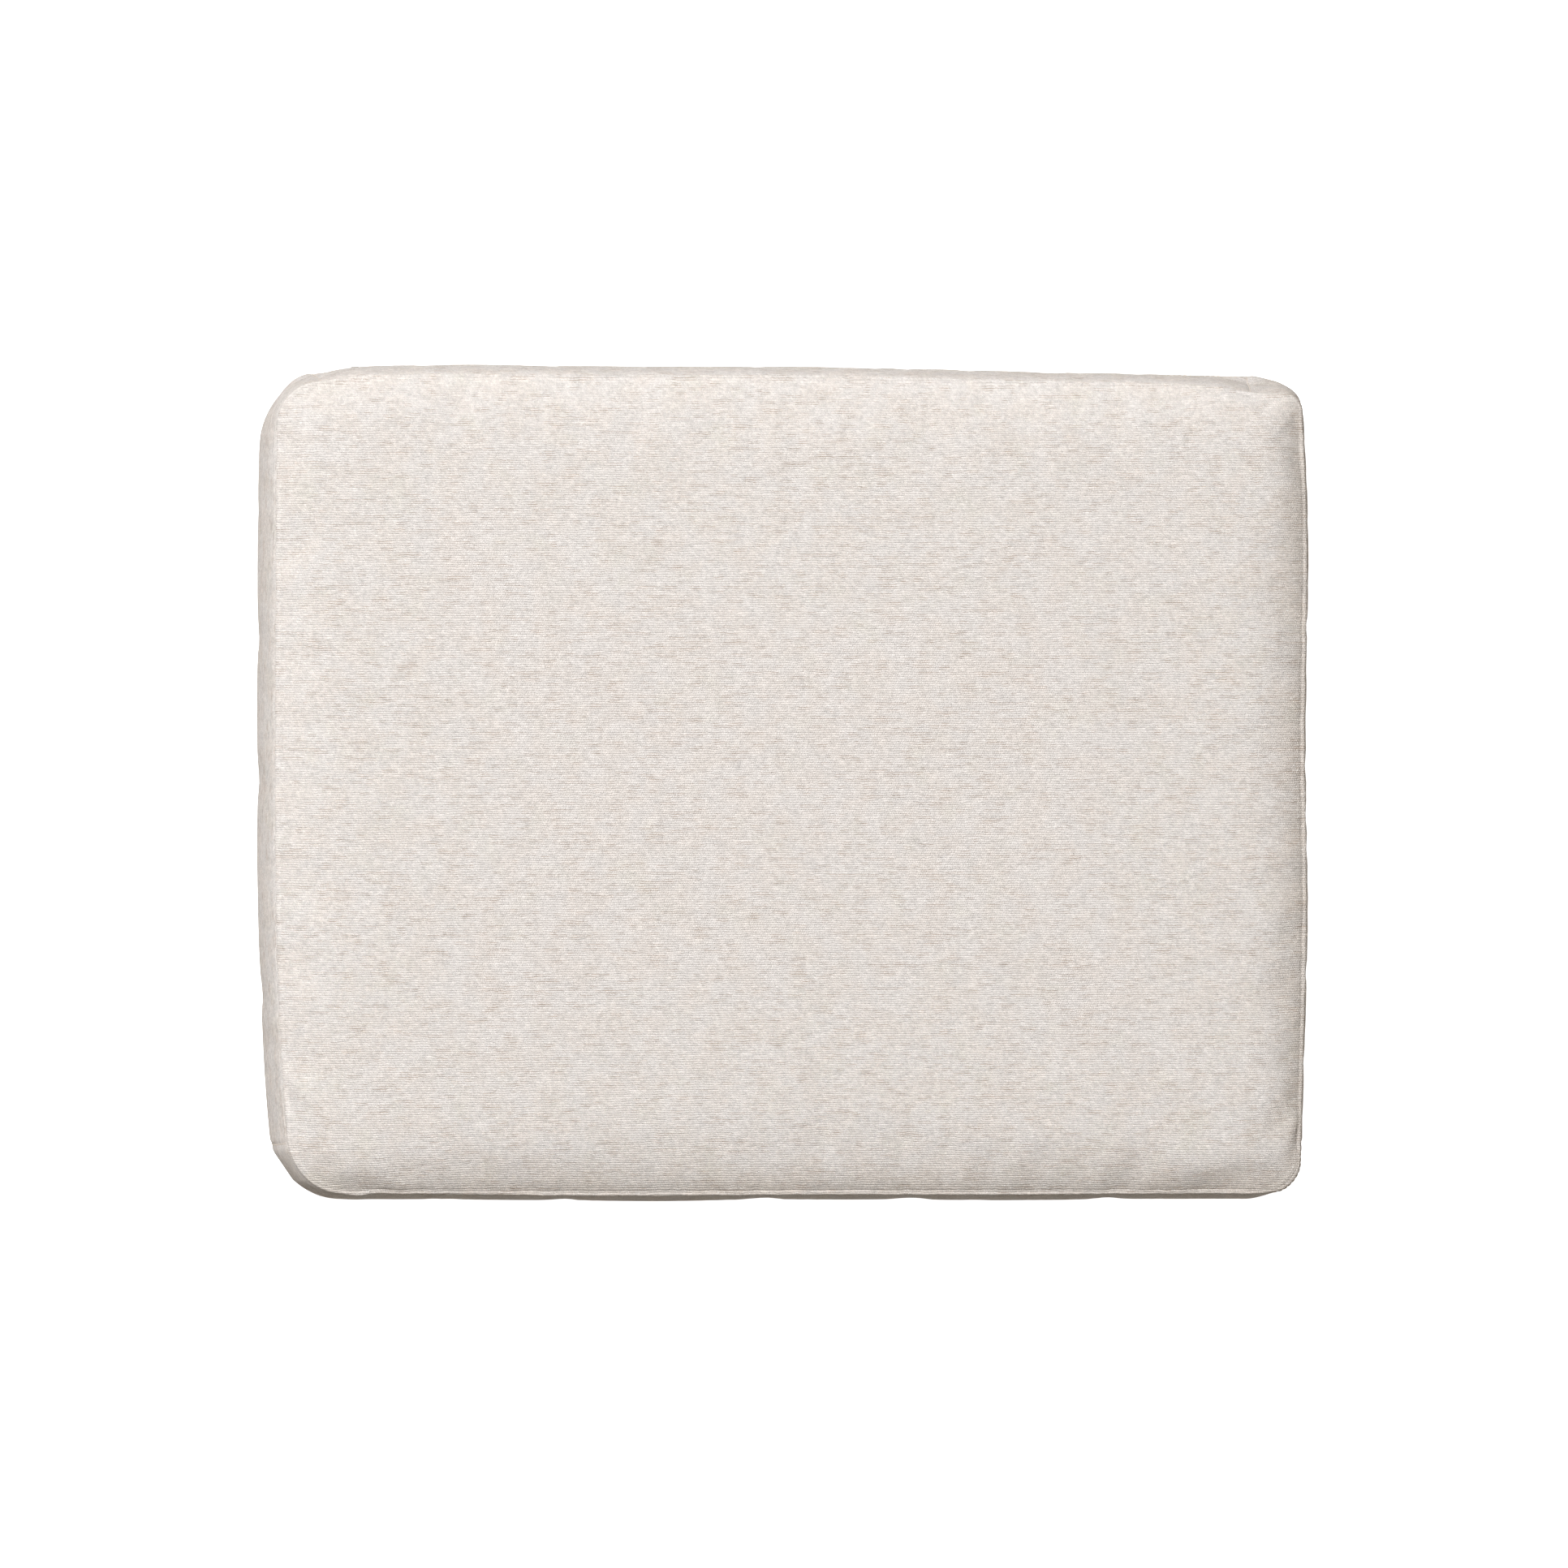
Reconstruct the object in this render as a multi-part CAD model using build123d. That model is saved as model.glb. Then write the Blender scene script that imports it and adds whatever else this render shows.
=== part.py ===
from build123d import *
import os

# A loose seat pad for a chair: a zipped box-cushion cover over a foam insert.
# Millimetres.  The origin is on the underside, in the middle of the pad with its zip slider,
# +Z is up, the front faces -Y and the zip runs along X in the rear band.

# Finished pad
WIDTH = 600.0  # along X
DEPTH = 471.0  # along Y, without the slider
HEIGHT = 100.0  # along Z
CORNER_RADIUS = 34.0  # corners seen from above
EDGE_RADIUS = 12.0  # roll of the top and bottom panels down to their seams

# Cover
FABRIC = 1.5  # thickness of the chenille
SEAM_DIP = 0.7  # depth of the valley along each seam
SEAM_THREAD_RADIUS = 0.25
THREAD_CLEARANCE = 0.05
FOLD_TO_TOPSTITCH = 4.0  # from the folded edge beside the zip to its stitching
HEM = 14.0  # width of the turned edge beside the zip

# Zip
TAPE = 0.6  # thickness
TAPE_WIDTH = 16.0
TAPE_END_INSET = 2.0  # from the upright seam to the end of the tape
COIL_WIDTH = 2.6
COIL_HEIGHT = 2.2
COIL_ROUND = 0.9
COIL_END_INSET = 10.0  # from the upright seam to the end of the coil
COIL_PARTING = 1.8  # between the two coils, where the wedge of the slider passes
STOP_WALL = 0.5
TOP_STOP_LENGTH = 4.0
BOTTOM_STOP_LENGTH = 5.0

# Slider
RUNNING_CLEARANCE = 0.35
STOP_CLEARANCE = 0.5
FOLD_CLEARANCE = 0.5  # from the slider to the folded edge on each side
SLIDER_LENGTH = 13.0
SLIDER_TOP = 1.2  # thickness of the outer plate
SLIDER_BOTTOM = 1.0  # thickness of the inner plate
SLIDER_FLANGE = 1.0
SLIDER_CORNER = 2.5
METAL_EDGE = 0.35  # rounding of the slider's and the pull tab's outer edges
WEDGE_LENGTH = 2.0
WEDGE_INSET = 0.5
BAIL_WIDTH = 2.0
BAIL_WALL = 1.2
BAIL_ROUND = 0.6

# Pull tab
PIN_RADIUS = 0.75
PULL_LENGTH = 26.0  # from the pin to the tip
PULL_WIDTH = 7.6
PULL_WINDOW = 5.6  # from the pin to the far end of the window round the bail
PULL_SIDE_CLEARANCE = 0.5
PULL_TIP_RADIUS = 3.0

# Care label, blank
LABEL_WIDTH = 36.0
LABEL_LENGTH = 16.0
LABEL = 0.3  # thickness, folded
LABEL_Y = 120.0

# Insert
INSERT_CLEARANCE = 0.4  # between the cover and the liner
LAYER_CLEARANCE = 0.1  # between the liner, the fibre wrap and the foam
LINER = 0.5
LINER_SEAM_DIP = 0.3
LINER_THREAD_RADIUS = 0.12
FIBRE = 10.0
FOAM_CORNER_RADIUS = 20.0
FOAM_EDGE_RADIUS = 3.0

# Places worked out from the sizes above
BAIL_OPENING = 2 * (PIN_RADIUS + RUNNING_CLEARANCE)
SLIDER_PROUD = (
    COIL_HEIGHT + RUNNING_CLEARANCE + SLIDER_TOP + BAIL_OPENING + BAIL_WALL - 2 * FABRIC
)
HALF_WIDTH = WIDTH / 2
FRONT = -(DEPTH + SLIDER_PROUD) / 2
REAR = FRONT + DEPTH
TOP_SEAM = HEIGHT - EDGE_RADIUS
BOTTOM_SEAM = EDGE_RADIUS
REAR_SEAM_X = HALF_WIDTH - CORNER_RADIUS
SIDE_SEAM_Y = FRONT + CORNER_RADIUS
ZIP_Z = HEIGHT / 2
TAPE_FACE = REAR - 2 * FABRIC
COIL_EDGE = COIL_PARTING / 2 + COIL_WIDTH
COIL_END = REAR_SEAM_X - COIL_END_INSET
FLANGE_IN = COIL_EDGE + RUNNING_CLEARANCE
SLIDER_HALF_WIDTH = FLANGE_IN + SLIDER_FLANGE
FOLD_EDGE = SLIDER_HALF_WIDTH + FOLD_CLEARANCE
SLIDER_X = -COIL_END + TOP_STOP_LENGTH + STOP_CLEARANCE + SLIDER_LENGTH / 2
SLIDER_LAST_X = COIL_END - BOTTOM_STOP_LENGTH - STOP_CLEARANCE - SLIDER_LENGTH / 2
SLIDER_FACE = TAPE_FACE + COIL_HEIGHT + RUNNING_CLEARANCE + SLIDER_TOP
SLIDER_BACK = TAPE_FACE - TAPE - RUNNING_CLEARANCE - SLIDER_BOTTOM
PIN_Y = SLIDER_FACE + RUNNING_CLEARANCE + PIN_RADIUS


def span(x, y, z):
    """A box between low and high limits along each axis."""
    size = (x[1] - x[0], y[1] - y[0], z[1] - z[0])
    centre = ((x[0] + x[1]) / 2, (y[0] + y[1]) / 2, (z[0] + z[1]) / 2)
    return Pos(*centre) * Box(*size)


def cushion_form(x, y, z, corner, edge):
    """A block with rounded upright corners and rolled top and bottom edges."""
    block = span(x, y, z)
    block = fillet(block.edges().filter_by(Axis.Z), corner)
    ends = block.faces().sort_by(Axis.Z)
    return fillet(ends[0].edges() + ends[-1].edges(), edge)


def cover_form(inset):
    """The outside of the cover, drawn in by inset."""
    half_x = HALF_WIDTH - inset
    return cushion_form(
        (-half_x, half_x),
        (FRONT + inset, REAR - inset),
        (inset, HEIGHT - inset),
        CORNER_RADIUS - inset,
        EDGE_RADIUS - inset,
    )


def insert_form(inset):
    """The outside of the liner, drawn in by inset.  Its rear stands clear of the slider."""
    gap = FABRIC + INSERT_CLEARANCE + inset
    half_x = HALF_WIDTH - gap
    rear = SLIDER_BACK - INSERT_CLEARANCE - inset
    return cushion_form(
        (-half_x, half_x),
        (FRONT + gap, rear),
        (gap, HEIGHT - gap),
        CORNER_RADIUS - gap,
        EDGE_RADIUS - gap,
    )


def foam_form(grow):
    """The foam block, grown by grow on every side."""
    gap = FABRIC + INSERT_CLEARANCE + LINER + 2 * LAYER_CLEARANCE + FIBRE - grow
    half_x = HALF_WIDTH - gap
    rear = SLIDER_BACK - gap + FABRIC
    return cushion_form(
        (-half_x, half_x),
        (FRONT + gap, rear),
        (gap, HEIGHT - gap),
        FOAM_CORNER_RADIUS + grow,
        FOAM_EDGE_RADIUS + grow,
    )


def skin_parts(outer, inner, dip):
    """Split a skin at the two seams into top, band and bottom, with a valley at each seam."""
    wide = (-WIDTH, WIDTH)
    top = outer & span(wide, wide, (TOP_SEAM, 2 * HEIGHT))
    top = chamfer(top.faces().sort_by(Axis.Z)[0].edges(), dip) - inner
    bottom = outer & span(wide, wide, (-HEIGHT, BOTTOM_SEAM))
    bottom = chamfer(bottom.faces().sort_by(Axis.Z)[-1].edges(), dip) - inner
    band = outer & span(wide, wide, (BOTTOM_SEAM, TOP_SEAM))
    ends = band.faces().sort_by(Axis.Z)
    band = chamfer(ends[0].edges() + ends[-1].edges(), dip) - inner
    return top, band, bottom


def seam_thread(x, y, z, corner, dip, radius):
    """A thread lying in the valley of a seam that runs round the pad."""
    inset = dip - (radius + THREAD_CLEARANCE) * 2**0.5
    size = (x[1] - x[0] - 2 * inset, y[1] - y[0] - 2 * inset)
    centre = ((x[0] + x[1]) / 2, (y[0] + y[1]) / 2, z)
    path = (Pos(*centre) * RectangleRounded(*size, corner - inset)).face().outer_wire()
    start = Plane(origin=path @ 0, z_dir=path % 0)
    return sweep(start * Circle(radius), path=path)


def cover_thread(z):
    """A cover seam's thread at height z."""
    limits = ((-HALF_WIDTH, HALF_WIDTH), (FRONT, REAR))
    return seam_thread(*limits, z, CORNER_RADIUS, SEAM_DIP, SEAM_THREAD_RADIUS)


def liner_thread(z):
    """A liner seam's thread at height z."""
    gap = FABRIC + INSERT_CLEARANCE
    limits_x = (gap - HALF_WIDTH, HALF_WIDTH - gap)
    limits_y = (FRONT + gap, SLIDER_BACK - INSERT_CLEARANCE)
    radius = LINER_THREAD_RADIUS
    return seam_thread(limits_x, limits_y, z, CORNER_RADIUS - gap, LINER_SEAM_DIP, radius)


def upright_seams():
    """Where the strips of the band meet: a point on each and the way out of the face."""
    rear = [(sign * REAR_SEAM_X, REAR, 0, 1) for sign in (-1, 1)]
    side = [(sign * HALF_WIDTH, SIDE_SEAM_Y, sign, 0) for sign in (-1, 1)]
    return rear + side


def upright_valleys():
    """The valleys along the upright seams, as one cutter."""
    edge = SEAM_DIP * 2**0.5
    cutters = Part()
    for x, y, _, _ in upright_seams():
        cutters += Pos(x, y, HEIGHT / 2) * Rot(0, 0, 45) * Box(edge, edge, HEIGHT)
    return cutters


def upright_threads():
    """A thread in each upright valley, between the two seams round the pad."""
    inset = SEAM_DIP - (SEAM_THREAD_RADIUS + THREAD_CLEARANCE) * 2**0.5
    length = TOP_SEAM - BOTTOM_SEAM - 2 * SEAM_DIP
    threads = []
    for x, y, out_x, out_y in upright_seams():
        place = Pos(x - inset * out_x, y - inset * out_y, HEIGHT / 2)
        threads.append(place * Cylinder(SEAM_THREAD_RADIUS, length))
    return Compound(children=threads)


def plain_strip(band, x, y):
    """A strip of the band between limits, with its share of the upright valleys."""
    return (band & span(x, y, (0, HEIGHT))) - upright_valleys()


def topstitch_z(side):
    """Height of the stitching beside the zip; side is 1 above it and -1 below."""
    return ZIP_Z + side * (FOLD_EDGE + FOLD_TO_TOPSTITCH)


def rear_strip(band, side):
    """Half of the rear band, with its edge beside the zip folded in and stitched."""
    fold_z = ZIP_Z + side * (FOLD_EDGE + FABRIC)
    hem_z = fold_z + side * HEM
    far_z = ZIP_Z + side * HEIGHT
    run = (-REAR_SEAM_X, REAR_SEAM_X)
    strip = band & span(run, (0, DEPTH), tuple(sorted((fold_z, far_z))))
    fold = Pos(0, REAR - FABRIC, fold_z) * Rot(0, 90, 0) * Cylinder(FABRIC, 2 * REAR_SEAM_X)
    fold &= span(run, (0, DEPTH), tuple(sorted((fold_z, ZIP_Z))))
    hem = span(run, (TAPE_FACE, REAR - FABRIC), tuple(sorted((fold_z, hem_z))))
    slot = SEAM_THREAD_RADIUS + THREAD_CLEARANCE
    stitch_z = topstitch_z(side)
    groove = span(run, (REAR - 2 * slot, DEPTH), (stitch_z - slot, stitch_z + slot))
    return strip + fold + hem - groove - upright_valleys()


def zip_topstitching():
    """The row of stitching on each side of the zip."""
    y = REAR - SEAM_THREAD_RADIUS - THREAD_CLEARANCE
    row = Rot(0, 90, 0) * Cylinder(SEAM_THREAD_RADIUS, 2 * (REAR_SEAM_X - SEAM_DIP))
    return Compound(children=[Pos(0, y, topstitch_z(side)) * row for side in (-1, 1)])


def zip_tape(side):
    """One tape of the zip, behind the hem."""
    inner = ZIP_Z + side * COIL_PARTING / 2
    outer = inner + side * TAPE_WIDTH
    end = REAR_SEAM_X - TAPE_END_INSET
    return span((-end, end), (TAPE_FACE - TAPE, TAPE_FACE), tuple(sorted((inner, outer))))


def zip_coil(side):
    """One coil of the zip, along the inner edge of its tape."""
    z = tuple(sorted((ZIP_Z + side * COIL_PARTING / 2, ZIP_Z + side * COIL_EDGE)))
    coil = span((-COIL_END, COIL_END), (TAPE_FACE, TAPE_FACE + COIL_HEIGHT), z)
    outer_edges = coil.faces().sort_by(Axis.Y)[-1].edges().filter_by(Axis.X)
    return fillet(outer_edges, COIL_ROUND)


def zip_top_stops():
    """A clip over each coil, which the slider meets when the zip is closed."""
    x = (-COIL_END, -COIL_END + TOP_STOP_LENGTH)
    y = (TAPE_FACE, TAPE_FACE + COIL_HEIGHT + STOP_WALL)
    clips = []
    for side in (-1, 1):
        near = ZIP_Z + side * COIL_PARTING / 4
        far = ZIP_Z + side * (COIL_EDGE + STOP_WALL)
        clips.append(span(x, y, tuple(sorted((near, far)))) - zip_coil(side))
    return Compound(children=clips)


def zip_bottom_stop():
    """A clip that joins the two coils, which the slider meets when the zip is open."""
    reach = COIL_EDGE + STOP_WALL
    clip = span(
        (COIL_END - BOTTOM_STOP_LENGTH, COIL_END),
        (TAPE_FACE, TAPE_FACE + COIL_HEIGHT + STOP_WALL),
        (ZIP_Z - reach, ZIP_Z + reach),
    )
    return clip - zip_coil(1) - zip_coil(-1)


def slider_plate(y):
    """A plate of the slider, with round corners."""
    x = (SLIDER_X - SLIDER_LENGTH / 2, SLIDER_X + SLIDER_LENGTH / 2)
    plate = span(x, y, (ZIP_Z - SLIDER_HALF_WIDTH, ZIP_Z + SLIDER_HALF_WIDTH))
    return fillet(plate.edges().filter_by(Axis.Y), SLIDER_CORNER)


def zip_slider():
    """The slider: two plates, a wedge between the coils, side flanges and a bail."""
    top_in = SLIDER_FACE - SLIDER_TOP
    bottom_in = SLIDER_BACK + SLIDER_BOTTOM
    top = slider_plate((top_in, SLIDER_FACE))
    top = fillet(top.faces().sort_by(Axis.Y)[-1].edges(), METAL_EDGE)
    body = top + slider_plate((SLIDER_BACK, bottom_in))
    flange_x = SLIDER_LENGTH / 2 - SLIDER_CORNER
    flange_y = (TAPE_FACE + RUNNING_CLEARANCE, top_in)
    for side in (-1, 1):
        z = tuple(sorted((ZIP_Z + side * FLANGE_IN, ZIP_Z + side * SLIDER_HALF_WIDTH)))
        body += span((SLIDER_X - flange_x, SLIDER_X + flange_x), flange_y, z)
    wedge_x = SLIDER_X - SLIDER_LENGTH / 2 + WEDGE_INSET
    wedge_half = COIL_PARTING / 2 - RUNNING_CLEARANCE
    wedge_z = (ZIP_Z - wedge_half, ZIP_Z + wedge_half)
    body += span((wedge_x, wedge_x + WEDGE_LENGTH), (bottom_in, top_in), wedge_z)
    return body + bail()


def bail():
    """The arch on the slider that holds the pin of the pull tab."""
    half = BAIL_OPENING / 2
    reach = half + BAIL_WALL
    top = SLIDER_FACE + BAIL_OPENING
    z = (ZIP_Z - BAIL_WIDTH / 2, ZIP_Z + BAIL_WIDTH / 2)
    arch = span((SLIDER_X - reach, SLIDER_X + reach), (SLIDER_FACE, top + BAIL_WALL), z)
    arch = fillet(arch.faces().sort_by(Axis.Y)[-1].edges(), BAIL_ROUND)
    return arch - span((SLIDER_X - half, SLIDER_X + half), (SLIDER_FACE, top), z)


def zip_pull_tab():
    """The pull tab, folded flat along the closed zip."""
    y = (PIN_Y - PIN_RADIUS, PIN_Y + PIN_RADIUS)
    half = PULL_WIDTH / 2
    tab = span((SLIDER_X, SLIDER_X + PULL_LENGTH), y, (ZIP_Z - half, ZIP_Z + half))
    tip = tab.edges().filter_by(Axis.Y).sort_by(Axis.X)[-2:]
    tab = fillet(tip, PULL_TIP_RADIUS)
    flats = tab.faces().sort_by(Axis.Y)
    tab = fillet(flats[0].edges() + flats[-1].edges(), METAL_EDGE)
    window = BAIL_WIDTH / 2 + PULL_SIDE_CLEARANCE
    tab -= span((SLIDER_X, SLIDER_X + PULL_WINDOW), y, (ZIP_Z - window, ZIP_Z + window))
    return tab + Pos(SLIDER_X, PIN_Y, ZIP_Z) * Cylinder(PIN_RADIUS, PULL_WIDTH)


def care_label():
    """A blank label sewn into the bottom seam, inside the left band."""
    x = (FABRIC - HALF_WIDTH, FABRIC + LABEL - HALF_WIDTH)
    y = (LABEL_Y - LABEL_WIDTH / 2, LABEL_Y + LABEL_WIDTH / 2)
    return span(x, y, (BOTTOM_SEAM, BOTTOM_SEAM + LABEL_LENGTH))


def cover():
    """The cut pieces of the cover and the threads that join them."""
    top, band, bottom = skin_parts(cover_form(0), cover_form(FABRIC), SEAM_DIP)
    wide = (-WIDTH, WIDTH)
    behind = (SIDE_SEAM_Y, DEPTH)
    left = (-WIDTH, -REAR_SEAM_X)
    right = (REAR_SEAM_X, WIDTH)
    return {
        "top_panel": top,
        "bottom_panel": bottom,
        "front_boxing": plain_strip(band, wide, (-DEPTH, SIDE_SEAM_Y)),
        "left_boxing": plain_strip(band, left, behind),
        "right_boxing": plain_strip(band, right, behind),
        "rear_boxing_upper": rear_strip(band, 1),
        "rear_boxing_lower": rear_strip(band, -1),
        "top_seam_thread": cover_thread(TOP_SEAM),
        "bottom_seam_thread": cover_thread(BOTTOM_SEAM),
        "upright_seam_threads": upright_threads(),
    }


def zip_fastener():
    """The zip, its stitching and the label beside it."""
    return {
        "zip_topstitching": zip_topstitching(),
        "zip_tape_upper": zip_tape(1),
        "zip_tape_lower": zip_tape(-1),
        "zip_coil_upper": zip_coil(1),
        "zip_coil_lower": zip_coil(-1),
        "zip_top_stops": zip_top_stops(),
        "zip_bottom_stop": zip_bottom_stop(),
        "zip_slider": zip_slider(),
        "zip_pull_tab": zip_pull_tab(),
        "care_label": care_label(),
    }


def insert():
    """The insert: a liner round a fibre wrap round a foam block."""
    liner = skin_parts(insert_form(0), insert_form(LINER), LINER_SEAM_DIP)
    wrap = insert_form(LINER + LAYER_CLEARANCE) - foam_form(LAYER_CLEARANCE)
    wide = (-WIDTH, WIDTH)
    threads = [liner_thread(BOTTOM_SEAM), liner_thread(TOP_SEAM)]
    return {
        "liner_top": liner[0],
        "liner_boxing": liner[1],
        "liner_bottom": liner[2],
        "liner_seam_threads": Compound(children=threads),
        "fibre_wrap_top": wrap & span(wide, wide, (HEIGHT / 2, HEIGHT)),
        "fibre_wrap_bottom": wrap & span(wide, wide, (0, HEIGHT / 2)),
        "foam_core": foam_form(0),
    }


def main():
    os.makedirs("parts", exist_ok=True)
    for name, shape in (cover() | zip_fastener() | insert()).items():
        export_step(shape, f"parts/{name}.step")
    print(f"slider travel {SLIDER_LAST_X - SLIDER_X:.1f} mm, rest at x {SLIDER_X:.1f}")
    print(f"pull pin at x {SLIDER_X:.2f}, y {PIN_Y:.2f}, z {ZIP_Z:.2f}")


main()
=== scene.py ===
import math
from functools import lru_cache

import bmesh
import bpy
import numpy as np
from mathutils import Matrix, Vector
from mathutils.kdtree import KDTree

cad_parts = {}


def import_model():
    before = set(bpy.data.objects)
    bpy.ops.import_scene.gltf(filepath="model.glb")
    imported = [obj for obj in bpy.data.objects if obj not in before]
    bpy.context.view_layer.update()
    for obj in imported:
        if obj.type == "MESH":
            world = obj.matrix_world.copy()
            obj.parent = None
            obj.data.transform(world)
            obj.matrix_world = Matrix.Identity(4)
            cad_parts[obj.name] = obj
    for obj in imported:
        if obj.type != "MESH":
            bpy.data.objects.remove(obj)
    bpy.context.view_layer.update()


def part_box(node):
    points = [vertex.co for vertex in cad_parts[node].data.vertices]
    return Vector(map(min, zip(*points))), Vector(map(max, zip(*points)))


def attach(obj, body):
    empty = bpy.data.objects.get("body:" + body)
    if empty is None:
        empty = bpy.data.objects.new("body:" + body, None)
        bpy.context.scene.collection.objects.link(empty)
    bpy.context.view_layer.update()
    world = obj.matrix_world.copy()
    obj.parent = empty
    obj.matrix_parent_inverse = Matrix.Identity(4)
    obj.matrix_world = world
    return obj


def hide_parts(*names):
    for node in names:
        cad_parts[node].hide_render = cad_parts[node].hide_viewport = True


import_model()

MM = 0.001

# ---------------------------------------------------------------- sizes, in metres
TOP_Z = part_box("top_panel")[1].z
TOP_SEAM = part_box("top_panel")[0].z
BOTTOM_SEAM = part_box("bottom_panel")[1].z
MID_Z = (TOP_SEAM + BOTTOM_SEAM) / 2
BAND_HEIGHT = TOP_SEAM - BOTTOM_SEAM
FABRIC = 1.5 * MM
FOLD_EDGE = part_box("rear_boxing_upper")[0].z - MID_Z  # from the zip's middle to the fold
FOLD_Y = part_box("rear_boxing_upper")[1].y
HEM_REACH = FOLD_EDGE + FABRIC + 14 * MM
REAR_SEAM_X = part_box("rear_boxing_upper")[1].x
SIDE_SEAM_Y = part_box("front_boxing")[1].y
SLIDER_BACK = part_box("zip_slider")[0].y
TAPE_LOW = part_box("zip_tape_upper")[0]
TAPE_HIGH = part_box("zip_tape_upper")[1]
COIL_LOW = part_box("zip_coil_upper")[0]
COIL_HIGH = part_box("zip_coil_upper")[1]
LABEL_LOW, LABEL_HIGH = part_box("care_label")

# The seams lie inside the widest line of the band, which puffs out past them.
GIRTH = ((-0.300, 0.2978), (-0.2368, 0.2392))
SEAM = ((-0.2912, 0.2952), (-0.2328, 0.2330))
# Corner radii: front left, front right, rear right, rear left
GIRTH_RADII = (0.037, 0.032, 0.016, 0.044)
SEAM_RADII = (0.031, 0.020, 0.012, 0.026)
LEAST_RADIUS = 2 * MM
INNER_INSET = 62 * MM  # from the seam to the even grid in the middle of a panel
PANEL_RISE = TOP_Z - TOP_SEAM - 3 * MM  # before the filling puffs it up
PUFF_LIMIT = 3.5 * MM
BAND_PUFF = 0.55  # share of the simulated move that the band keeps
BAND_SWELL = 1.06
PRESSURE = 4.0
LAST_FRAME = 20  # of the cloth simulation
NEIGHBOURS = 5  # simulated points that move each point of the cover
ROLL_WIDTH = 33 * MM
ROLL_SHARE = 0.94  # of the rise from the seam to the middle of the top
EDGE_RISE = 8.4 * MM  # steep first part of the roll, over EDGE_REACH
EDGE_REACH = 7.0 * MM
RIDGE_WIDTH = 1.9 * MM
RIDGE_HEIGHT = 0.22 * MM
GROOVE_AT = 2.4 * MM
GROOVE_DEPTH = 0.25 * MM
SIDE_SAMPLES = 800
CORNER_CROWDING = 0.45  # how much closer the columns are near the corners
STITCH_PITCH = 3.2 * MM
LINER_STITCH_PITCH = 8 * MM
TOPSTITCH_AT = 4 * MM  # from the fold beside the zip
SEAM_PULL = 0.45 * MM  # of the cloth into an upright seam
THREAD_RADIUS = 0.24 * MM

# Layers inside the cover: how far the outside and the inside of each are drawn in
LABEL_LAYER = (1.6 * MM, 1.9 * MM)
LINER_LAYER = (2.1 * MM, 2.6 * MM)
FIBRE_LAYER = (2.8 * MM, 12.4 * MM)
FOAM_INSET = 12.8 * MM
TAPE_LAYER = (2 * FABRIC, 2 * FABRIC + 0.6 * MM)


# ---------------------------------------------------------------- the form of the pad
def smooth(t):
    t = np.clip(t, 0.0, 1.0)
    return t * t * (3 - 2 * t)


def crowded(t):
    return t - CORNER_CROWDING * np.sin(2 * math.pi * t) / (2 * math.pi)


@lru_cache(maxsize=None)
def outline(limits, radii, inset):
    """A rounded rectangle drawn in by inset: points anticlockwise from the middle of the
    front left corner, the same number on each side, evenly along it."""
    x = (limits[0][0] + inset, limits[0][1] - inset)
    y = (limits[1][0] + inset, limits[1][1] - inset)
    radii = [max(r - inset, LEAST_RADIUS) for r in radii]
    signs = ((-1, -1), (1, -1), (1, 1), (-1, 1))
    centres = [(x[sx > 0] - sx * r, y[sy > 0] - sy * r) for (sx, sy), r in zip(signs, radii)]
    sides = []
    for k in range(4):
        turn = math.radians(225 + 90 * k) + np.linspace(0, math.pi / 4, 40)
        after = (k + 1) % 4
        first = np.stack([np.cos(turn), np.sin(turn)], 1) * radii[k] + centres[k]
        turn = turn + math.pi / 4
        last = np.stack([np.cos(turn), np.sin(turn)], 1) * radii[after] + centres[after]
        path = np.concatenate([first, last])
        run = np.concatenate([[0], np.cumsum(np.linalg.norm(np.diff(path, axis=0), axis=1))])
        even = np.linspace(0, run[-1], SIDE_SAMPLES, endpoint=False)
        sides.append(np.stack([np.interp(even, run, path[:, i]) for i in (0, 1)], 1))
    return np.concatenate(sides)


def along(table, s):
    """Points of an outline at s, which counts sides: 1.5 is half way up the right side."""
    f = (np.asarray(s) % 4) * SIDE_SAMPLES
    i = f.astype(int)
    w = (f - i)[..., None]
    return table[i % len(table)] * (1 - w) + table[(i + 1) % len(table)] * w


def side_place(side, value):
    """The s at which a side of the seam's outline reaches x = value, or y = value."""
    s = side + np.linspace(0, 1, 4001)[:-1]
    points = along(outline(SEAM, SEAM_RADII, 0.0), s)[:, side % 2]
    return s[np.argmin(np.abs(points - value))]


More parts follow.
